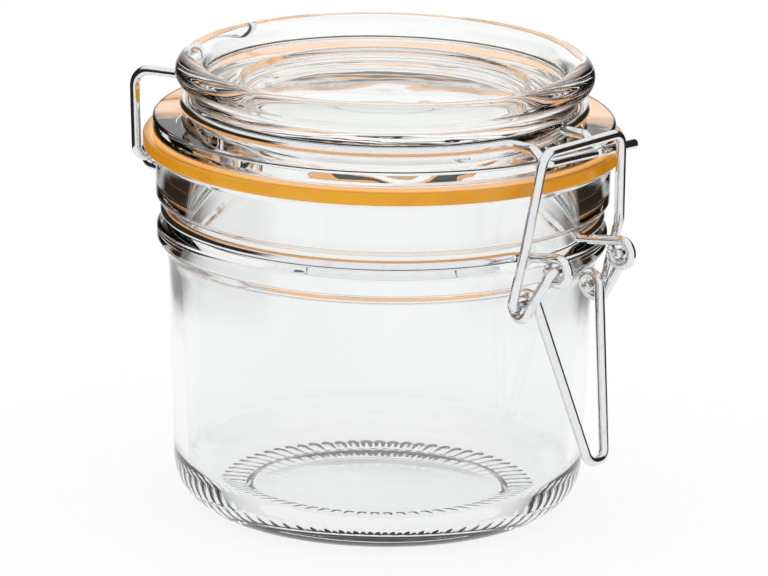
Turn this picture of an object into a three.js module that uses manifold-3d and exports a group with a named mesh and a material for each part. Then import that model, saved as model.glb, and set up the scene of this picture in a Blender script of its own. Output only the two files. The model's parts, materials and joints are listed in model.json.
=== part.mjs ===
// A clip-top preserving jar: a pressed glass jar and lid with a rubber ring between them, held
// by four bent steel wires. The neck wire lies in a groove round the jar's neck, the lid wire
// in a groove round the lid. They hinge on each other at the back. At the front a V-shaped
// lever turns in the neck wire's two eyes and pulls a bail down over the lid wire's tab.
// Millimetres, +Z up, the jar's axis on Z, its foot on Z = 0 and the lever towards -Y.

import * as THREE from "three";
import { mergeVertices } from "three/addons/utils/BufferGeometryUtils.js";
import Module from "manifold-3d";

const wasm = await Module();
wasm.setup();

// Driving dimensions
const jarHeight = 76.3; // foot to sealing land
const mouthRadius = 41;
const glassWall = 3;
const bodySwell = 0.6; // how much wider the body is inside than the mouth
const bodyTaper = 1.8; // radius lost from shoulder to heel
const heelRadius = 10;
const footInner = 27.6; // inner radius of the bearing ring
const pushUp = 0.8; // height of the recessed base inside the ring
const floorThickness = 4.5;

const collarHeight = 10.5;
const collarProud = 6.3; // how far the collar stands outside the mouth
const beadProud = 6;
const grooveWall = 2.9; // glass left behind the neck groove
const grooveDrop = 13.3; // sealing land to the middle of the neck groove
const beadDrop = 17.3; // sealing land to the middle of the bead
const shoulderDrop = 23.3; // sealing land to the top of the straight body

const gasketThickness = 2.7;
const gasketOverhang = 2.8; // how far the ring sticks out past the collar
const gasketSlack = 0.6; // ring to the lid's plug

const plugSlack = 1.8; // mouth to the lid's plug
const plugDepth = 6.5;
const plugWall = 3.6;
const flangeProud = 0.8; // how far the lid's flange stands outside the collar
const flangeEdge = 3; // height of the flange at its edge
const flangeChamfer = 0.8; // under the flange's edge
const lidNeckInset = 0.8; // lid groove's floor inside the mouth radius
const lidGrooveRise = 6.1; // flange's underside to the lid wire
const rimTube = 3; // section radius of the lid's rolled rim
const rimRise = 12.9; // flange's underside to the middle of the rim
const recessRise = 11.1; // flange's underside to the recess floor
const wellRadius = 29.8;
const wellDepth = 1.5;
const lidThickness = 4.3;

const wireRadius = 1.05;
const clearance = 0.3;
const coilPlay = 0.5; // room in an eye or coil for the wire through it
const tabArmX = 8.4;
const tabDrop = 2.5; // lid wire down to the tab's crossbar
const tabReach = 2.1; // crossbar outside the lid's flange
const crossbarEnd = 20.5;
const crossbarFall = 0.8; // the free end hangs a little lower
const eyeX = 10.2;
const eyeReach = 5.4; // axis of the neck wire's eyes outside the gasket's edge
const eyeDrop = 0.9; // neck groove down to the eye's axis
const latchDrop = 8.5; // lever's pivot down to the coil
const handleDrop = 33; // coil down to the handle's tip
const handleSlant = 11.2; // the tip stands this far out from the coil
const handleTipWidth = 2.5; // half the width of the handle's rounded tip
const bailCornerX = 12.4;
const bailRise = 3.3; // bail's top bar above the crossbar
const bailGap = 0.4; // bail's top bar in front of the crossbar, beyond a wire's pitch
const bailKneeDrop = 19;
const bailLean = 2; // the bar stands this far out from the knees

const hingeX = 14.5; // lid wire's legs
const hingeReach = 6.2; // hinge axis behind the gasket's edge
const hingeDrop = 19.3; // lid wire down to the hinge axis
const legLean = 1; // the legs' tops stand this far behind the axis
const hingeCoilX = 9.4;
const eyeTurn = 285; // degrees of turn in each eye
const bridgePlay = 0.1; // the hinge's bridge stands this far behind its coils
const pinOverhang = 1.8; // how far a lever's or bail's pin reaches inside the eye
const flangeTurnInset = 1.2; // the tab's arms turn down this far inside the flange's edge

// Bend radii of the wires' centre lines
const bends = {
  neckHoop: 2,
  bridge: 1.9,
  lidHoop: 2.4,
  tab: 2,
  crossbar: 1.9,
  legTop: 3.5,
  legFoot: 3,
  leverPin: 1.7,
  bailBar: 3,
  bailKnee: 8,
  bailPin: 1.8,
};

// Small edges of the glass and the ring
const edge = { foot: 0.9, collar: 0.7, mouth: 0.7, plug: 0.8, ring: 0.4, well: 0.5 };

// Smoothness
const latheSegments = 48;
const wireSides = 8;
const hoopStep = THREE.MathUtils.degToRad(9);
const hoopMargin = 0.75; // of a step, between a hoop and its corners
const bendStep = THREE.MathUtils.degToRad(30);
const coilStep = THREE.MathUtils.degToRad(30);

// Worked-out places
const collarRadius = mouthRadius + collarProud;
const beadRadius = mouthRadius + beadProud;
const grooveRadius = mouthRadius + grooveWall;
const bodyRadius = mouthRadius + glassWall + bodySwell;
const baseRadius = bodyRadius - bodyTaper;
const grooveZ = jarHeight - grooveDrop;
const beadZ = jarHeight - beadDrop;
const shoulderZ = jarHeight - shoulderDrop;

const plugRadius = mouthRadius - plugSlack;
const gasketRadius = collarRadius + gasketOverhang;
const gasketZ = jarHeight + clearance;
const lidZ = gasketZ + gasketThickness + clearance;
const flangeRadius = collarRadius + flangeProud;
const lidNeckRadius = mouthRadius - lidNeckInset;
const lidWireZ = lidZ + lidGrooveRise;

const wirePitch = 2 * wireRadius + clearance;
const coilRadius = 2 * wireRadius + coilPlay; // centre line of an eye or coil round a wire
const neckHoop = grooveRadius + clearance + wireRadius;
const lidHoop = lidNeckRadius + clearance + wireRadius;

const eyeY = -(gasketRadius + eyeReach);
const eyeZ = grooveZ - eyeDrop;
const armX = eyeX + wirePitch;
const legX = armX + wirePitch;
const pinEnd = eyeX - pinOverhang;
const bodyAtCoil = Math.sqrt(bodyRadius ** 2 - (eyeX - wireRadius) ** 2);
const coilY = -(bodyAtCoil + clearance + coilRadius + wireRadius);
const coilZ = eyeZ - latchDrop;
const crossbarY = -(flangeRadius + tabReach);
const crossbarZ = lidWireZ - tabDrop;

const hingeY = gasketRadius + hingeReach;
const hingeZ = lidWireZ - hingeDrop;

const clearGlass = new THREE.MeshStandardMaterial({
  name: "glass", color: 0xdfe9e4, roughness: 0.05, metalness: 0, transparent: true, opacity: 0.4,
});
const rubber = new THREE.MeshStandardMaterial({ name: "rubber", color: 0xe0851f, roughness: 0.6 });
const steel = new THREE.MeshStandardMaterial({
  name: "wire", color: 0xc9ccd0, roughness: 0.18, metalness: 1,
});

// A closed ring of points [radius, height] turned about the jar's axis.
function turned(profile) {
  const points = profile.map(([r, z]) => new THREE.Vector2(r, z));
  return new THREE.LatheGeometry(points, latheSegments).rotateX(Math.PI / 2);
}

// Points of an arc in a profile, angles in degrees, 0 outwards and 90 upwards.
function arc(r, z, radius, from, to, steps) {
  return Array.from({ length: steps + 1 }, (_, i) => {
    const angle = THREE.MathUtils.degToRad(from + ((to - from) * i) / steps);
    return [r + radius * Math.cos(angle), z + radius * Math.sin(angle)];
  });
}

// A curve that passes its own points in turn, so a sweep has one section at each of them.
class PointPath extends THREE.Curve {
  constructor(points) {
    super();
    this.points = points;
  }
  getPointAt(u, target = new THREE.Vector3()) {
    return target.copy(this.points[Math.round(u * (this.points.length - 1))]);
  }
  getTangentAt(u, target = new THREE.Vector3()) {
    const last = this.points.length - 1;
    const i = Math.round(u * last);
    const before = this.points[Math.max(i - 1, 0)];
    const after = this.points[Math.min(i + 1, last)];
    const back = this.points[i].clone().sub(before).normalize();
    return target.copy(after).sub(this.points[i]).normalize().add(back).normalize();
  }
}

// Rounds each corner [x, y, z, bend radius] of a route. A corner with no radius stays a point.
function bent(corners) {
  const places = corners.map(([x, y, z]) => new THREE.Vector3(x, y, z));
  return corners.flatMap(([, , , radius], i) => {
    if (!radius) return [places[i]];
    const back = places[i - 1].clone().sub(places[i]).normalize();
    const on = places[i + 1].clone().sub(places[i]).normalize();
    const half = back.angleTo(on) / 2;
    const turn = Math.PI - 2 * half;
    const middle = back.clone().add(on).normalize();
    const centre = places[i].clone().addScaledVector(middle, radius / Math.sin(half));
    const first = places[i].clone().addScaledVector(back, radius / Math.tan(half)).sub(centre);
    const final = places[i].clone().addScaledVector(on, radius / Math.tan(half)).sub(centre);
    const steps = Math.max(2, Math.ceil(turn / bendStep));
    return Array.from({ length: steps + 1 }, (_, k) => {
      const t = k / steps;
      return centre
        .clone()
        .addScaledVector(first, Math.sin((1 - t) * turn) / Math.sin(turn))
        .addScaledVector(final, Math.sin(t * turn) / Math.sin(turn));
    });
  });
}

// Corners along a hoop of the given radius at height z, from one side position to another.
// Angles run from the front (-Y) towards +X.
function hoop(radius, z, from, to) {
  const steps = Math.ceil((to - from) / hoopStep);
  return Array.from({ length: steps + 1 }, (_, i) => {
    const angle = from + ((to - from) * i) / steps;
    return [radius * Math.sin(angle), -radius * Math.cos(angle), z];
  });
}

// Corners of a turn round an axis along X, from one angle to another, in degrees: 0 towards
// the back, 90 upwards. The wire shifts from x = startX to x = endX on the way.
function coil(startX, endX, y, z, from, to) {
  const span = THREE.MathUtils.degToRad(to - from);
  const steps = Math.ceil(Math.abs(span) / coilStep);
  return Array.from({ length: steps + 1 }, (_, i) => {
    const angle = THREE.MathUtils.degToRad(from) + (span * i) / steps;
    const x = startX + ((endX - startX) * i) / steps;
    return [x, y + coilRadius * Math.cos(angle), z + coilRadius * Math.sin(angle)];
  });
}

const mirrored = (corners) => corners.map(([x, ...rest]) => [-x, ...rest]).reverse();

function wire(corners) {
  const section = new THREE.Shape(
    Array.from({ length: wireSides }, (_, i) => {
      const angle = (2 * Math.PI * i) / wireSides;
      return new THREE.Vector2(Math.cos(angle), Math.sin(angle)).multiplyScalar(wireRadius);
    }),
  );
  const path = new PointPath(bent(corners));
  const steps = path.points.length - 1;
  return new THREE.ExtrudeGeometry(section, { steps, bevelEnabled: false, extrudePath: path });
}

function toSolid(geometry) {
  const bare = geometry.clone();
  bare.deleteAttribute("normal");
  bare.deleteAttribute("uv");
  const merged = mergeVertices(bare, 1e-4);
  return new wasm.Manifold(
    new wasm.Mesh({
      numProp: 3,
      vertProperties: merged.attributes.position.array,
      triVerts: merged.index.array,
    }),
  );
}

// Joins overlapping bodies into one.
function joined(...geometries) {
  const [first, ...others] = geometries.map(toSolid);
  const mesh = others.reduce((whole, next) => whole.add(next), first).getMesh();
  const geometry = new THREE.BufferGeometry();
  geometry.setAttribute("position", new THREE.BufferAttribute(mesh.vertProperties, mesh.numProp));
  geometry.setIndex(new THREE.BufferAttribute(mesh.triVerts, 1));
  return geometry;
}

function jarBody() {
  const heelInner = heelRadius - 2;
  const innerBase = baseRadius - glassWall;
  return turned([
    [0, pushUp],
    [footInner - edge.foot, pushUp],
    [footInner, 0],
    ...arc(baseRadius - heelRadius, heelRadius, heelRadius, -90, 0, 4),
    [bodyRadius, shoulderZ],
    [bodyRadius + 0.6, shoulderZ + 2.3],
    [beadRadius - 0.7, beadZ - 2.1],
    [beadRadius, beadZ],
    [beadRadius - 0.7, beadZ + 1.5],
    [grooveRadius + 0.3, grooveZ - 1.5],
    [grooveRadius, grooveZ - 1.2],
    [grooveRadius, grooveZ + 1.6],
    [grooveRadius + 0.4, grooveZ + 2.2],
    [collarRadius - edge.collar, jarHeight - collarHeight],
    [collarRadius, jarHeight - collarHeight + 0.9],
    [collarRadius, jarHeight - 1.7],
    [collarRadius - 0.5, jarHeight - 0.5],
    [collarRadius - 1.3, jarHeight],
    [mouthRadius + edge.mouth, jarHeight],
    [mouthRadius, jarHeight - edge.mouth],
    [mouthRadius, beadZ + 1],
    [mouthRadius + bodySwell, shoulderZ],
    ...arc(innerBase - heelInner, floorThickness + heelInner, heelInner, 0, -90, 4),
    [0, floorThickness + 0.3],
  ]);
}

function lid() {
  const rimCentre = lidNeckRadius + 0.4;
  const underside = lidZ + recessRise - wellDepth - lidThickness;
  return turned([
    [0, underside],
    [wellRadius, underside - 0.6],
    [plugRadius - plugWall - 1, underside - 3.6],
    [plugRadius - plugWall, lidZ - plugDepth + 1.6],
    [plugRadius - plugWall + edge.plug, lidZ - plugDepth + 0.2],
    [plugRadius - edge.plug, lidZ - plugDepth],
    [plugRadius, lidZ - plugDepth + 1.2],
    [plugRadius, lidZ],
    [flangeRadius - flangeChamfer, lidZ],
    [flangeRadius, lidZ + flangeChamfer],
    [flangeRadius, lidZ + flangeEdge],
    [flangeRadius - 0.6, lidZ + flangeEdge + 0.6],
    [lidNeckRadius + 1, lidWireZ - wireRadius - clearance - 0.1],
    [lidNeckRadius, lidWireZ - 0.6],
    [lidNeckRadius, lidWireZ + 2.6],
    ...arc(rimCentre, lidZ + rimRise, rimTube, -75, 180, 10),
    [rimCentre - rimTube - 0.2, lidZ + recessRise + 0.4],
    [rimCentre - rimTube - 0.6, lidZ + recessRise],
    [wellRadius + edge.well, lidZ + recessRise],
    [wellRadius, lidZ + recessRise - edge.well],
    [wellRadius - 0.2, lidZ + recessRise - wellDepth],
    [0, lidZ + recessRise - wellDepth],
  ]);
}

function gasket() {
  const inner = plugRadius + gasketSlack;
  return turned([
    [inner, gasketZ],
    [gasketRadius - edge.ring, gasketZ],
    [gasketRadius, gasketZ + edge.ring],
    [gasketRadius, gasketZ + gasketThickness - edge.ring],
    [gasketRadius - edge.ring, gasketZ + gasketThickness],
    [inner, gasketZ + gasketThickness],
    [inner, gasketZ],
  ]);
}

// The corner where a wire leaves its hoop at a given x, at the front or at the back.
function cornerOn(radius, z, x, front, bend) {
  const y = Math.sqrt(radius ** 2 - x ** 2);
  return [x, front ? -y : y, z, bend];
}

// Half of a hoop between its front and back corners, short of both by most of a step.
function halfHoop(radius, z, frontX, backX) {
  const margin = hoopStep * hoopMargin;
  return hoop(
    radius,
    z,
    Math.asin(frontX / radius) + margin,
    Math.PI - Math.asin(backX / radius) - margin,
  );
}

function neckWire() {
  const inner = hingeCoilX - wirePitch;
  const bottom = hingeZ - coilRadius;
  const bridgeY = hingeY + coilRadius + bridgePlay;
  const right = [
    ...coil(eyeX, eyeX, eyeY, eyeZ, eyeTurn + 90, 90),
    cornerOn(neckHoop, grooveZ, eyeX, true, bends.neckHoop),
    ...halfHoop(neckHoop, grooveZ, eyeX, hingeCoilX),
    cornerOn(neckHoop, grooveZ, hingeCoilX, false, bends.neckHoop),
    ...coil(hingeCoilX, inner, hingeY, hingeZ, -90, 270),
    [inner, bridgeY, bottom, bends.bridge],
  ];
  return wire([...right, ...mirrored(right)]);
}

function lidWire() {
  const flangeTurn = -(flangeRadius - flangeTurnInset);
  const side = [
    [tabArmX, flangeTurn, lidWireZ, bends.tab],
    cornerOn(lidHoop, lidWireZ, tabArmX, true, bends.lidHoop),
    ...halfHoop(lidHoop, lidWireZ, tabArmX, hingeCoilX),
    cornerOn(lidHoop, lidWireZ, hingeCoilX, false, bends.lidHoop),
    [hingeX, hingeY + legLean, lidWireZ, bends.legTop],
    [hingeX, hingeY, hingeZ, bends.legFoot],
    [hingeCoilX - wirePitch - wireRadius - clearance, hingeY, hingeZ],
  ];
  const tip = [crossbarEnd, crossbarY, crossbarZ - crossbarFall];
  const bend = [-tabArmX, crossbarY, crossbarZ, bends.crossbar];
  const weld = [tabArmX, crossbarY, crossbarZ - crossbarFall / 2];
  return joined(wire([tip, bend, ...mirrored(side).reverse()]), wire([weld, ...side]));
}

function lever() {
  const tip = [handleTipWidth, coilY - handleSlant, coilZ - handleDrop, handleTipWidth];
  const toEye = Math.atan2(eyeZ - coilZ, eyeY - coilY);
  const arrive = Math.atan2(handleDrop, handleSlant);
  const turnFrom = THREE.MathUtils.radToDeg(arrive) + 90;
  const turnTo = THREE.MathUtils.radToDeg(toEye) - 270;
  const right = [
    tip,
    ...coil(eyeX, armX, coilY, coilZ, turnFrom, turnTo),
    [armX, eyeY, eyeZ, bends.leverPin],
    [pinEnd, eyeY, eyeZ],
  ];
  return wire([...mirrored(right), ...right]);
}

function bail() {
  const barY = crossbarY - wirePitch - bailGap;
  const barZ = crossbarZ + bailRise;
  const right = [
    [bailCornerX, barY, barZ, bends.bailBar],
    [legX, barY + bailLean, barZ - bailKneeDrop, bends.bailKnee],
    [legX, coilY, coilZ, bends.bailPin],
    [pinEnd, coilY, coilZ],
  ];
  return wire([...mirrored(right), ...right]);
}

function part(name, geometry, material) {
  const mesh = new THREE.Mesh(geometry, material);
  mesh.name = name;
  return mesh;
}

const jar = new THREE.Group();
jar.add(part("jar_body", jarBody(), clearGlass), part("neck_wire", neckWire(), steel));

const cover = new THREE.Group();
cover.add(part("lid", lid(), clearGlass), part("gasket", gasket(), rubber));
cover.add(part("lid_wire", lidWire(), steel));

const closure = new THREE.Group();
closure.add(part("lever", lever(), steel), part("bail", bail(), steel));

const canister = new THREE.Group();
canister.add(jar, cover, closure);

export default canister;
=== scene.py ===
import bpy
import json
import math
from mathutils import Matrix, Vector


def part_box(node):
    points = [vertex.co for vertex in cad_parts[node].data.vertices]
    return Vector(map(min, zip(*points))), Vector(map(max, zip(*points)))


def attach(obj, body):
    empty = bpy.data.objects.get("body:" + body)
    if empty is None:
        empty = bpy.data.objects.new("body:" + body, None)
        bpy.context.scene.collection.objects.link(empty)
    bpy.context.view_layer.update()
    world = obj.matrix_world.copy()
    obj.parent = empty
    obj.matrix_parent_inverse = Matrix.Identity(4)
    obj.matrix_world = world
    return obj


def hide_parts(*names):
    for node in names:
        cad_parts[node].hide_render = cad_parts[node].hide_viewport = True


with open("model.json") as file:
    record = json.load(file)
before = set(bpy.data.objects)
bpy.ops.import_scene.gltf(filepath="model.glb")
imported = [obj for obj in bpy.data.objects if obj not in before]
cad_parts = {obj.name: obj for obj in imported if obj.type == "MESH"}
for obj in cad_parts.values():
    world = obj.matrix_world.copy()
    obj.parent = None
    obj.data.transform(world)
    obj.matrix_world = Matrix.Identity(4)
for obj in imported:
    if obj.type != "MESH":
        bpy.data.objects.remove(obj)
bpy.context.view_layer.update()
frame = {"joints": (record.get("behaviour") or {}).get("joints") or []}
mm = 0.001  # sizes and routes below are in millimetres, meshes in metres


def boxMm(node):
    return [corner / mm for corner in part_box(node)]


pivots = {joint["name"]: Vector(joint["pos_m"]) / mm for joint in frame["joints"]}
hinge, eye, latch = pivots["lid_hinge"], pivots["lever_pivot"], pivots["bail_pivot"]
jarTop, collarRadius = boxMm("jar_body")[1].z, boxMm("jar_body")[1].x
lidFoot, flangeRadius = boxMm("lid")[0].z, boxMm("lid")[1].x
gasketLow, gasketHigh = boxMm("gasket")
print("frame loaded: jar", round(2 * collarRadius, 1), "mm across")


class Value:
    # a shader socket that can stand in sums
    def __init__(self, shader, socket):
        self.shader, self.socket = shader, socket

    def sum(self, operation, first, second):
        return self.shader.node("Math", {"operation": operation}, {0: first, 1: second})

    def __add__(self, other):
        return self.sum("ADD", self, other)

    def __sub__(self, other):
        return self.sum("SUBTRACT", self, other)

    def __rsub__(self, other):
        return self.sum("SUBTRACT", other, self)

    def __mul__(self, other):
        return self.sum("MULTIPLY", self, other)

    __radd__ = __add__
    __rmul__ = __mul__


class Shader:
    # the nodes of one material or of the world
    def __init__(self, owner):
        owner.use_nodes = True
        self.tree = owner.node_tree
        self.tree.nodes.clear()

    def node(self, kind, settings, sockets, output=0):
        made = self.tree.nodes.new("ShaderNode" + kind)
        for name, value in settings.items():
            setattr(made, name, value)
        for name, value in sockets.items():
            socket = made.inputs[name]
            if isinstance(value, Value):
                self.tree.links.new(value.socket, socket)
            else:
                socket.default_value = (*value, 1) if socket.type == "RGBA" else value
        return Value(self, made.outputs[output]) if made.outputs else None

    def place(self, stretch=(1, 1, 1)):
        where = self.node("TexCoord", {}, {}, "Object")
        return self.node("Mapping", {}, {"Vector": where, "Scale": stretch})

    def noise(self, where, scale, detail, roughness=0.5):
        sockets = {"Vector": where, "Scale": scale, "Detail": detail, "Roughness": roughness}
        return self.node("TexNoise", {}, sockets)

    def ease(self, value, low, high, start=0.0, end=1.0):
        settings = {"interpolation_type": "SMOOTHSTEP"}
        return self.node("MapRange", settings, {0: value, 1: low, 2: high, 3: start, 4: end})

    def mix(self, factor, low, high):
        return self.node("Mix", {"data_type": "RGBA"}, {0: factor, 6: low, 7: high}, 2)

    def bump(self, height, distance, strength=1.0):
        return self.node("Bump", {}, {"Height": height, "Distance": distance, "Strength": strength})

    def finish(self, sockets):
        surface = self.node("BsdfPrincipled", {}, sockets)
        self.node("OutputMaterial", {}, {"Surface": surface})


def newMaterial(name, nodes):
    material = bpy.data.materials.new(name)
    nodes(Shader(material))
    return material


def rounded(corners, step, closed=False):
    # rounds each corner (x, y, z or radius, height, then its bend radius) of a route or outline
    places = [Vector(corner[:-1]).to_3d() for corner in corners]
    ends = () if closed else (0, len(corners) - 1)
    route = []
    for i, place in enumerate(places):
        back = (places[i - 1] - place).normalized()
        on = (places[(i + 1) % len(places)] - place).normalized()
        turn = math.pi - back.angle(on, math.pi)
        bend = corners[i][-1]
        if not bend or i in ends or turn < 0.02:
            route.append(place)
            continue
        cut = bend * math.tan(turn / 2)
        centre = place + (back + on).normalized() * bend / math.cos(turn / 2)
        first, final = place + back * cut - centre, place + on * cut - centre
        steps = max(2, math.ceil(math.degrees(turn) / step))
        for k in range(steps + 1):
            early = math.sin((1 - k / steps) * turn) / math.sin(turn)
            late = math.sin(k / steps * turn) / math.sin(turn)
            route.append(centre + first * early + final * late)
    return route


def turned(name, outline, segments, closed=False):
    # turns an outline about the jar's axis; it runs outwards underneath, up the outside and back
    verts, rings = [], []
    for r, z, _ in outline:
        count = 1 if r < 1e-6 else segments
        rings.append([len(verts) + k for k in range(count)])
        angles = [2 * math.pi * k / segments for k in range(count)]
        verts += [(r * math.cos(a) * mm, r * math.sin(a) * mm, z * mm) for a in angles]
    if closed:
        rings.append(rings[0])
    faces = []
    for low, high in zip(rings, rings[1:]):
        for k in range(segments):
            n = (k + 1) % segments
            corners = low[k % len(low)], low[n % len(low)], high[n % len(high)], high[k % len(high)]
            faces.append(list(dict.fromkeys(corners)))
    mesh = bpy.data.meshes.new(name)
    mesh.from_pydata(verts, [], faces)
    mesh.shade_smooth()
    return mesh


def newObject(name, data):
    made = bpy.data.objects.new(name, data)
    bpy.context.scene.collection.objects.link(made)
    return made


def addNodes(tree, kind, settings, sockets):
    # one geometry node: its settings first, then the values or links of its sockets
    made = tree.nodes.new(kind)
    for name, value in settings.items():
        setattr(made, name, value)
    for name, value in sockets.items():
        if isinstance(value, bpy.types.NodeSocket):
            tree.links.new(value, made.inputs[name])
        else:
            made.inputs[name].default_value = value
    return made


def newTree(name, sizes):
    # a geometry tree with a geometry input, a material input and the named sizes
    tree = bpy.data.node_groups.new(name, "GeometryNodeTree")
    tree.is_modifier = True
    kinds = {"Geometry": "NodeSocketGeometry", "Material": "NodeSocketMaterial", **sizes}
    for label, kind in kinds.items():
        tree.interface.new_socket(label, in_out="INPUT", socket_type=kind)
    tree.interface.new_socket("Geometry", in_out="OUTPUT", socket_type="NodeSocketGeometry")
    return tree, tree.nodes.new("NodeGroupInput").outputs


def closeTree(tree, given, geometry):
    real = addNodes(tree, "GeometryNodeRealizeInstances", {}, {"Geometry": geometry})
    coated = addNodes(tree, "GeometryNodeSetMaterial", {},
                      {"Geometry": real.outputs[0], "Material": given["Material"]})
    addNodes(tree, "NodeGroupOutput", {}, {"Geometry": coated.outputs[0]})
    return tree


def grown(source, name, tree, values):
    # runs the tree on the source object and keeps the result as a plain mesh object
    modifier = source.modifiers.new(tree.name, "NODES")
    modifier.node_group = tree
    for item in tree.interface.items_tree:
        if item.in_out == "INPUT" and item.name in values:
            modifier[item.identifier] = values[item.name]
    bpy.context.view_layer.update()
    graph = bpy.context.evaluated_depsgraph_get()
    mesh = bpy.data.meshes.new_from_object(source.evaluated_get(graph), depsgraph=graph)
    source.modifiers.remove(modifier)
    bpy.data.objects.remove(source)
    mesh.name = name
    mesh.shade_smooth()
    return newObject(name, mesh)


def join(piece, body, node):
    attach(piece, body)
    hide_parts(node)
    print("made", piece.name, "with", len(piece.data.polygons), "faces")


jarGlass = dict(
    tint=(0.950, 0.958, 0.955), deepTint=(0.938, 0.950, 0.946), cloud=25,
    waveScale=36, waveStretch=(1, 1, 0.4), wave=0.16, rippleScale=150, ripple=0.01,
)
lidGlass = dict(
    tint=(0.986, 0.992, 0.985), deepTint=(0.966, 0.98, 0.968), cloud=30,
    waveScale=55, waveStretch=(1, 1, 1.6), wave=0.30, rippleScale=210, ripple=0.02,
)


def pressedGlass(shader, look):
    wave = shader.noise(shader.place(look["waveStretch"]), look["waveScale"], 1.5, 0.4)
    ripple = shader.noise(shader.place(), look["rippleScale"], 1)
    cloud = shader.ease(shader.noise(shader.place(), look["cloud"], 1), 0.35, 0.65)
    shader.finish({
        "Base Color": shader.mix(cloud, look["tint"], look["deepTint"]),
        "Roughness": 0.0,
        "IOR": 1.5,
        "Transmission Weight": 1.0,
        "Normal": shader.bump(wave * look["wave"] + ripple * look["ripple"], mm),
    })


clearJar = newMaterial("pressed_jar_glass", lambda shader: pressedGlass(shader, jarGlass))
clearLid = newMaterial("pressed_lid_glass", lambda shader: pressedGlass(shader, lidGlass))

jar = dict(
    mouth=41.0, wall=3.0, swell=0.6, taper=1.8, heel=10.0, footInner=27.6, footOuter=32.6,
    pushUp=0.8, floor=4.5, collarHeight=10.5, beadProud=6.0, grooveWall=2.9, groove=13.3,
    bead=17.3, shoulder=23.3, ribs=68, ribDepth=0.5, segments=544, step=8,
)


def jarOutline():
    mouth, swell = jar["mouth"], jar["swell"]
    body = mouth + jar["wall"] + swell
    base = body - jar["taper"]
    bead, neck = mouth + jar["beadProud"], mouth + jar["grooveWall"]
    grooveZ, beadZ = jarTop - jar["groove"], jarTop - jar["bead"]
    shoulderZ, collarZ = jarTop - jar["shoulder"], jarTop - jar["collarHeight"]
    footInner, footOuter = jar["footInner"], jar["footOuter"]
    treads = [footInner + (footOuter - footInner) * k / 8 for k in range(1, 9)]
    return rounded([
        (0, jar["pushUp"] + 0.4, 0),
        (footInner - 1.3, jar["pushUp"], 1.5),
        (footInner, 0, 0.3),
        *[(r, 0, 0) for r in treads],
        (base - 0.34, 0, jar["heel"]),
        (body, shoulderZ, 12),
        (body + 0.5, shoulderZ + 2, 3),
        (bead, beadZ - 1.9, 1.6),
        (bead - 0.05, beadZ + 1.3, 1.3),
        (neck + 0.1, grooveZ - 1.5, 0.7),
        (neck, grooveZ + 1.9, 0.8),
        (collarRadius, collarZ + 0.1, 1.3),
        (collarRadius, jarTop, 1.6),
        (mouth, jarTop, 0.8),
        (mouth, beadZ + 1, 12),
        (mouth + swell, shoulderZ, 20),
        (base - jar["wall"] - 0.1, jar["floor"], jar["heel"] - 2),
        (18, jar["floor"] + 0.1, 30),
        (0, jar["floor"] + 0.4, 0),
    ], jar["step"])


def footRibTree():
    # lifts the underside of the foot between radial ribs, which stand on their crests
    sizes = {"Inner": "NodeSocketFloat", "Outer": "NodeSocketFloat", "Depth": "NodeSocketFloat",
             "Ribs": "NodeSocketFloat"}
    tree, given = newTree("foot_ribs", sizes)

    def maths(operation, first, second=0.0):
        sockets = {0: first, 1: second}
        return addNodes(tree, "ShaderNodeMath", {"operation": operation}, sockets).outputs[0]

    def fade(value, low, high, start, end):
        settings = {"interpolation_type": "SMOOTHSTEP"}
        sockets = {0: value, 1: low, 2: high, 3: start, 4: end}
        return addNodes(tree, "ShaderNodeMapRange", settings, sockets).outputs[0]

    at = tree.nodes.new("GeometryNodeInputPosition").outputs[0]
    x, y, z = addNodes(tree, "ShaderNodeSeparateXYZ", {}, {0: at}).outputs
    radius = maths("SQRT", maths("ADD", maths("MULTIPLY", x, x), maths("MULTIPLY", y, y)))
    wave = maths("COSINE", maths("MULTIPLY", maths("ARCTAN2", y, x), given["Ribs"]))
    valley = fade(wave, -1.0, 1.0, 1.0, 0.0)
    innerEnd = maths("ADD", given["Inner"], 1.2 * mm)
    outerStart = maths("SUBTRACT", given["Outer"], 1.8 * mm)
    within = maths("MULTIPLY", fade(radius, given["Inner"], innerEnd, 0.0, 1.0),
                   fade(radius, outerStart, given["Outer"], 1.0, 0.0))
    low = fade(z, 0.1 * mm, 0.3 * mm, 1.0, 0.0)  # only the underside moves
    deep = maths("MULTIPLY", low, given["Depth"])
    lift = maths("MULTIPLY", maths("MULTIPLY", valley, within), deep)
    offset = addNodes(tree, "ShaderNodeCombineXYZ", {}, {2: lift})
    lifted = addNodes(tree, "GeometryNodeSetPosition", {},
                      {"Geometry": given["Geometry"], "Offset": offset.outputs[0]})
    return closeTree(tree, given, lifted.outputs[0])


jarBlank = newObject("jar_blank", turned("jar_blank", jarOutline(), jar["segments"]))
jarPiece = grown(jarBlank, "jar_glass", footRibTree(), {
    "Material": clearJar, "Inner": jar["footInner"] * mm, "Outer": (jar["footOuter"] + 1.2) * mm,
    "Depth": jar["ribDepth"] * mm, "Ribs": float(jar["ribs"]),
})
join(jarPiece, "jar", "jar_body")

lid = dict(
    plugSlack=1.8, plugDepth=6.5, plugWall=3.6, flangeEdge=3.0, neckInset=0.8, wireRise=6.1,
    rimTube=3.0, rimRise=12.9, recessRise=11.1, wellRadius=29.8, wellDepth=1.5, thickness=4.3,
    segments=384, step=8,
)
flangeZ = lidFoot + lid["plugDepth"]
lidWireZ = flangeZ + lid["wireRise"]


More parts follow.
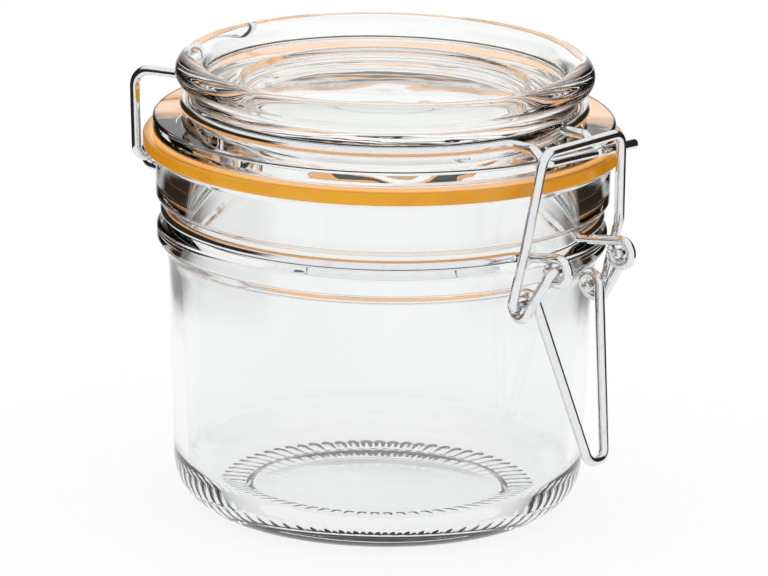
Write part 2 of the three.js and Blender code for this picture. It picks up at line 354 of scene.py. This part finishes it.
def lidOutline():
    plug = jar["mouth"] - lid["plugSlack"]
    plugInner = plug - lid["plugWall"]
    neck = jar["mouth"] - lid["neckInset"]
    rim, rimZ, tube = neck + 0.4, flangeZ + lid["rimRise"], lid["rimTube"]
    recess = flangeZ + lid["recessRise"]
    well, wellZ = lid["wellRadius"], recess - lid["wellDepth"]
    under = wellZ - lid["thickness"]
    return rounded([
        (0, under + 0.1, 0),
        (well, under - 0.5, 12),
        (plugInner - 0.9, under - 3.4, 2.5),
        (plugInner, lidFoot, 1.5),
        (plug, lidFoot, 1.3),
        (plug, flangeZ, 0.5),
        (flangeRadius, flangeZ, 0.8),
        (flangeRadius, flangeZ + lid["flangeEdge"] + 0.5, 0.7),
        (neck, lidWireZ - 1.9, 0.9),
        (neck, rimZ - tube - 0.1, 0.5),
        (rim + tube, rimZ - tube, 2.9),
        (rim + tube, rimZ + tube, 2.98),
        (rim - tube, rimZ + tube, 2.9),
        (rim - tube - 0.2, recess, 0.9),
        (well + 0.1, recess, 0.7),
        (well - 0.4, wellZ, 0.8),
        (0, wellZ, 0),
    ], lid["step"])


lidPiece = newObject("lid_glass", turned("lid_glass", lidOutline(), lid["segments"]))
lidPiece.data.materials.append(clearLid)
join(lidPiece, "cover", "lid")

ring = dict(
    holeSlack=0.6, edge=0.5, segments=288, step=15,
    colour=(0.71, 0.29, 0.004), pale=(0.78, 0.37, 0.006), dark=(0.55, 0.18, 0.003),
    # the last colour is a painted glow for the part under the lid, standing in for light through
    # the glass
    rough=(0.22, 0.36), grain=2600, grainBump=0.02, underGlassPaintedGlow=(0.66, 0.33, 0.13),
)


def rubberNodes(shader):
    # moulded rubber: a slow drift of colour, darker specks and a fine grain, with a painted orange
    # glow where the lid's flange covers it
    where = shader.place()
    drift = shader.ease(shader.noise(where, 34, 3, 0.6), 0.35, 0.65)
    grain = shader.noise(where, ring["grain"], 2, 0.6)
    bright = shader.mix(drift, ring["colour"], ring["pale"])
    flat = shader.node("VectorMath", {"operation": "MULTIPLY"}, {0: where, 1: (1, 1, 0)})
    radius = shader.node("VectorMath", {"operation": "LENGTH"}, {0: flat}, "Value")
    # mask for the painted glow: 1 under the lid's flange, 0 outside it
    paintedGlowMask = shader.ease(radius, (flangeRadius - 0.5) * mm, (gasketHigh.x - 0.4) * mm, 1.0, 0.0)
    shader.finish({
        "Base Color": shader.mix(shader.ease(grain, 0.55, 0.8, 0.0, 0.4), bright, ring["dark"]),
        "Roughness": shader.ease(drift, 0.0, 1.0, *ring["rough"]),
        "Subsurface Weight": 0.15,
        "Subsurface Radius": (1.0, 0.35, 0.1),
        "Subsurface Scale": 2 * mm,
        "Emission Color": shader.mix(paintedGlowMask, (0, 0, 0), ring["underGlassPaintedGlow"]),  # painted glow under the flange, standing in for light coming through the lid
        "Emission Strength": 1.0,
        "Normal": shader.bump(grain * ring["grainBump"], mm),
    })


def ringOutline():
    hole = jar["mouth"] - lid["plugSlack"] + ring["holeSlack"]
    low, high, edge = gasketLow.z, gasketHigh.z, ring["edge"]
    corners = [(hole, low), (gasketHigh.x, low), (gasketHigh.x, high), (hole, high)]
    return rounded([(*corner, edge) for corner in corners], ring["step"], closed=True)


ringPiece = newObject("rubber_ring", turned("rubber_ring", ringOutline(), ring["segments"], True))
ringPiece.data.materials.append(newMaterial("orange_rubber", rubberNodes))
join(ringPiece, "cover", "gasket")

wire = dict(
    radius=1.05, gap=0.3, coilPlay=0.5, pinOverhang=1.8, tipLength=0.45,
    sides=20, hoopStep=2.5, hoopMargin=6, coilStep=10, bendStep=10,
    steel=(0.82, 0.83, 0.84), dull=(0.60, 0.61, 0.62), rough=0.05,
)
pitch = 2 * wire["radius"] + wire["gap"]
coilRadius = 2 * wire["radius"] + wire["coilPlay"]
neckZ = jarTop - jar["groove"]
neckHoop = jar["mouth"] + jar["grooveWall"] + wire["gap"] + wire["radius"]
lidHoop = jar["mouth"] - lid["neckInset"] + wire["gap"] + wire["radius"]
eyeX = 10.2
armX, legX, pinEnd = eyeX + pitch, eyeX + 2 * pitch, eyeX - wire["pinOverhang"]


def steelNodes(shader):
    # drawn steel: faint lines along the wire and a few dull rubs
    along = shader.node("Attribute", {"attribute_name": "along"}, {}, "Fac")
    around = shader.node("Attribute", {"attribute_name": "around"}, {}, "Fac")
    lines = shader.noise(
        shader.node("CombineXYZ", {}, {0: along * 90, 1: around * 5, 2: 0.0}), 5, 3, 0.6)
    rubs = shader.ease(shader.noise(shader.place(), 300, 3, 0.65), 0.55, 0.75)
    shader.finish({
        "Base Color": shader.mix(rubs * 0.5 + lines * 0.3, wire["steel"], wire["dull"]),
        "Metallic": 1.0,
        "Roughness": wire["rough"] + lines * 0.06 + rubs * 0.1,
        "Normal": shader.bump(lines, 0.01 * mm),
    })


def wireTree():
    # sweeps a round section along each strand and keeps where a point lies along and around it
    tree, given = newTree("bent_wire", {"Radius": "NodeSocketFloat", "Sides": "NodeSocketInt"})

    def noted(geometry, name, value):
        made = tree.nodes.new("GeometryNodeCaptureAttribute")
        made.capture_items.new("FLOAT", name)
        tree.links.new(geometry, made.inputs[0])
        tree.links.new(value, made.inputs[1])
        return made.outputs

    section = addNodes(tree, "GeometryNodeCurvePrimitiveCircle", {},
                       {"Resolution": given["Sides"], "Radius": given["Radius"]})
    place = tree.nodes.new("GeometryNodeSplineParameter").outputs
    strand = noted(given["Geometry"], "along", place["Length"])
    section = noted(section.outputs[0], "around", place["Factor"])
    thickness = tree.nodes.new("GeometryNodeInputRadius").outputs[0]
    swept = addNodes(tree, "GeometryNodeCurveToMesh", {},
                     {"Curve": strand[0], "Profile Curve": section[0], "Scale": thickness,
                      "Fill Caps": True}).outputs[0]
    for name, value in (("along", strand[1]), ("around", section[1])):
        swept = addNodes(tree, "GeometryNodeStoreNamedAttribute",
                         {"data_type": "FLOAT", "domain": "POINT"},
                         {"Geometry": swept, "Name": name, "Value": value}).outputs[0]
    return closeTree(tree, given, swept)


steel = newMaterial("drawn_steel", steelNodes)
bentWire = wireTree()


def hoop(radius, z, frontX, backX, bend):
    # half a hoop on the +X side, with a bend where it leaves to the front and to the back
    first = math.degrees(math.asin(frontX / radius))
    last = 180 - math.degrees(math.asin(backX / radius))
    start, span = first + wire["hoopMargin"], last - first - 2 * wire["hoopMargin"]
    steps = math.ceil(span / wire["hoopStep"])
    angles = [start + span * i / steps for i in range(steps + 1)]
    turns = [(first, bend), *[(angle, 0) for angle in angles], (last, bend)]
    return [(radius * math.sin(math.radians(a)), -radius * math.cos(math.radians(a)), z, corner)
            for a, corner in turns]


def coil(startX, endX, axis, start, end):
    # a turn round an axis along X: 0 degrees is towards the back and 90 upwards
    steps = math.ceil(abs(end - start) / wire["coilStep"])
    turn = []
    for i in range(steps + 1):
        angle = math.radians(start + (end - start) * i / steps)
        turn.append((startX + (endX - startX) * i / steps, axis.y + coilRadius * math.cos(angle),
                     axis.z + coilRadius * math.sin(angle), 0))
    return turn


def mirrored(corners):
    return [(-x, y, z, bend) for x, y, z, bend in reversed(corners)]


def strandPoints(corners):
    # the rounded route with its thickness, domed at both ends
    route = rounded(corners, wire["bendStep"])
    tip = wire["tipLength"]
    dome = [(0.0, 0.3), (0.06, 0.6), (0.3, 0.88), (1.0, 1.0)]
    first, last = (route[1] - route[0]).normalized(), (route[-2] - route[-1]).normalized()
    head = [(route[0] + first * tip * way, size) for way, size in dome]
    tail = [(route[-1] + last * tip * way, size) for way, size in reversed(dome)]
    return head + [(point, 1.0) for point in route[1:-1]] + tail


def bendWire(name, strands, body):
    curve = bpy.data.curves.new(name + "_route", "CURVE")
    curve.dimensions = "3D"
    for points in strands:
        spline = curve.splines.new("POLY")
        spline.points.add(len(points) - 1)
        for point, (place, size) in zip(spline.points, points):
            point.co, point.radius = (*(place * mm), 1), size
    values = {"Material": steel, "Radius": wire["radius"] * mm, "Sides": wire["sides"]}
    piece = grown(newObject(name + "_route", curve), name + "_steel", bentWire, values)
    join(piece, body, name)


neck = dict(bend=2, coilX=9.4, bridge=0.1, bridgeBend=1.9, eyeStart=375)


def neckRoute():
    inner = neck["coilX"] - pitch
    right = [
        *coil(eyeX, eyeX, eye, neck["eyeStart"], 90),
        *hoop(neckHoop, neckZ, eyeX, neck["coilX"], neck["bend"]),
        *coil(neck["coilX"], inner, hinge, -90, 270),
        (inner, hinge.y + coilRadius + neck["bridge"], hinge.z - coilRadius, neck["bridgeBend"]),
    ]
    return [strandPoints(right + mirrored(right))]


bendWire("neck_wire", neckRoute(), "jar")

cover = dict(tabX=8.4, tabDrop=2.5, tabReach=2.1, barEnd=20.5, barFall=0.8, bend=2.4, legX=14.5,
             legLean=1.0, weld=1.3, weldLength=1.6, weldRise=0.15,
             turnInset=1.2, tabBend=2, barBend=1.9, legTopBend=3.5, legFootBend=3)


def lidWireRoutes():
    tabX, barY = cover["tabX"], -(flangeRadius + cover["tabReach"])
    barZ = lidWireZ - cover["tabDrop"]
    side = [
        (tabX, cover["turnInset"] - flangeRadius, lidWireZ, cover["tabBend"]),
        *hoop(lidHoop, lidWireZ, tabX, neck["coilX"], cover["bend"]),
        (cover["legX"], hinge.y + cover["legLean"], lidWireZ, cover["legTopBend"]),
        (cover["legX"], hinge.y, hinge.z, cover["legFootBend"]),
        (neck["coilX"] - pitch - wire["radius"] - wire["gap"], hinge.y, hinge.z, 0),
    ]
    bar = [(cover["barEnd"], barY, barZ - cover["barFall"], 0),
           (-tabX, barY, barZ, cover["barBend"])]
    left = [(-x, y, z, bend) for x, y, z, bend in side]
    joint = Vector((tabX, barY, barZ - cover["barFall"] / 2))
    reach, swell = cover["weldLength"], cover["weld"]
    half = [(0.3, swell), (0.7, 0.95), (1, 0.5)]  # the weld: how far along, and how thick
    bead = [(-way, size) for way, size in reversed(half)] + half
    return [
        strandPoints(bar + left),
        strandPoints([(*joint, 0), *side]),
        [(joint + Vector((way * reach, 0, cover["weldRise"])), size) for way, size in bead],
    ]


bendWire("lid_wire", lidWireRoutes(), "cover")

handle = dict(drop=33.0, slant=11.2, tipWidth=2.5, pinBend=1.7)


def leverRoute():
    tipWidth = handle["tipWidth"]
    arrive = math.degrees(math.atan2(handle["drop"], handle["slant"])) + 90
    leave = math.degrees(math.atan2(eye.z - latch.z, eye.y - latch.y)) - 270
    right = [
        (tipWidth, latch.y - handle["slant"], latch.z - handle["drop"], tipWidth),
        *coil(eyeX, armX, latch, arrive, leave),
        (armX, eye.y, eye.z, handle["pinBend"]),
        (pinEnd, eye.y, eye.z, 0),
    ]
    return [strandPoints(mirrored(right) + right)]


bendWire("lever", leverRoute(), "lever")

bow = dict(cornerX=12.4, rise=3.3, lead=pitch + 0.4, kneeDrop=19.0, kneeBack=2.0,
           barBend=3, kneeBend=8, pinBend=1.8)


def bailRoute():
    barY = -(flangeRadius + cover["tabReach"]) - bow["lead"]
    barZ = lidWireZ - cover["tabDrop"] + bow["rise"]
    right = [
        (bow["cornerX"], barY, barZ, bow["barBend"]),
        (legX, barY + bow["kneeBack"], barZ - bow["kneeDrop"], bow["kneeBend"]),
        (legX, latch.y, latch.z, bow["pinBend"]),
        (pinEnd, latch.y, latch.z, 0),
    ]
    return [strandPoints(mirrored(right) + right)]


bendWire("bail", bailRoute(), "bail")

studio = dict(
    floorSize=30.0, floorDrop=0.0003, floorGlow=0.84, floorPale=0.16, room=1.0, backdrop=1.06,
    # dark cards out of view: degrees round from the camera, from and to
    cards=[(-158, -46), (68, 158)], cardRadius=0.18, cardHeight=0.20,
    cardColour=(0.03, 0.022, 0.016), cardAcross=32, cardUp=12, cloth=28,
)
camera = dict(azimuth=-49.6, elevation=15.46, lens=308.0, distance=1.3858, side=0.00063,
              rise=0.04419, roll=1.14)


def direction(azimuth, elevation):
    # from the object outwards; azimuth 0 is the latch's side
    a, e = math.radians(azimuth), math.radians(elevation)
    return Vector((math.sin(a) * math.cos(e), -math.cos(a) * math.cos(e), math.sin(e)))


def worldNodes(shader):
    # an even white room, with a brighter backdrop
    seen = shader.node("LightPath", {}, {}, "Is Camera Ray")
    strength = seen * (studio["backdrop"] - studio["room"]) + studio["room"]
    room = shader.node("Background", {}, {"Color": (1, 1, 1), "Strength": strength})
    shader.node("OutputWorld", {}, {"Surface": room})


def floorNodes(shader):
    speck = shader.noise(shader.place(), 700, 2)
    pale = studio["floorPale"]
    shader.finish({
        "Base Color": shader.mix(speck, (pale,) * 3, (pale * 1.1,) * 3),
        "Roughness": 0.8,
        "Specular IOR Level": 0.0,
        "Emission Color": (1, 1, 1),
        "Emission Strength": studio["floorGlow"],
    })


def cardNodes(shader):
    # dark cloth that fades into the bright room at its edges
    rim = shader.node("Attribute", {"attribute_name": "rim"}, {}, "Fac")
    softened = rim + (shader.noise(shader.place(), studio["cloth"], 4, 0.7) - 0.5) * 0.3
    dark = shader.mix(shader.ease(softened, 0.05, 0.75), (1, 1, 1), studio["cardColour"])
    shader.finish({
        "Base Color": (0, 0, 0),
        "Roughness": 1.0,
        "Specular IOR Level": 0.0,
        "Emission Color": dark,
        "Emission Strength": 1.0,
    })


def buildCard(number, start, end, cloth):
    # a curved card with a value that falls from 1 in its middle to 0 at its sides and top
    across, up = studio["cardAcross"], studio["cardUp"]
    verts, rim = [], []
    for j in range(up + 1):
        height = Vector((0, 0, studio["cardHeight"] * j / up))
        for k in range(across + 1):
            foot = direction(camera["azimuth"] + start + (end - start) * k / across, 0)
            verts.append(foot * studio["cardRadius"] + height)
            rim.append(min(1.0, 6 * k / across, 6 * (1 - k / across), 3 * (1 - j / up), j))
    row = across + 1
    faces = [(j * row + k, j * row + k + 1, (j + 1) * row + k + 1, (j + 1) * row + k)
             for j in range(up) for k in range(across)]
    mesh = bpy.data.meshes.new("card")
    mesh.from_pydata(verts, [], faces)
    mesh.attributes.new("rim", "FLOAT", "POINT").data.foreach_set("value", rim)
    mesh.materials.append(cloth)
    card = newObject(f"card_{number}", mesh)
    card.visible_camera = card.visible_diffuse = card.visible_shadow = False


def buildStudio():
    half, z = studio["floorSize"] / 2, -studio["floorDrop"]
    mesh = bpy.data.meshes.new("floor")
    mesh.from_pydata([(-half, -half, z), (half, -half, z), (half, half, z), (-half, half, z)],
                     [], [(0, 1, 2, 3)])
    floor = newObject("floor", mesh)
    mesh.materials.append(newMaterial("pale_floor", floorNodes))
    floor.visible_glossy = False
    # the cards are only seen in the glass and the wires, whose edges they draw
    cloth = newMaterial("dark_card", cardNodes)
    for number, (start, end) in enumerate(studio["cards"]):
        buildCard(number, start, end, cloth)
    world = bpy.data.worlds.new("studio")
    bpy.context.scene.world = world
    worldNodes(Shader(world))
    bpy.context.scene.view_settings.view_transform = "Standard"


def buildCamera():
    back = direction(camera["azimuth"], camera["elevation"])
    right = Vector((0, 0, 1)).cross(back).normalized()
    up = back.cross(right)
    roll = math.radians(camera["roll"])
    made = newObject("camera", bpy.data.cameras.new("camera"))
    made.data.lens = camera["lens"]
    made.data.clip_end = 100
    sideways = right * math.cos(roll) + up * math.sin(roll)
    upwards = up * math.cos(roll) - right * math.sin(roll)
    turn = Matrix((sideways, upwards, back)).transposed().to_4x4()
    place = back * camera["distance"] + right * camera["side"] + up * camera["rise"]
    made.matrix_world = Matrix.Translation(place) @ turn
    bpy.context.scene.camera = made


buildStudio()
buildCamera()
print("studio and camera placed")
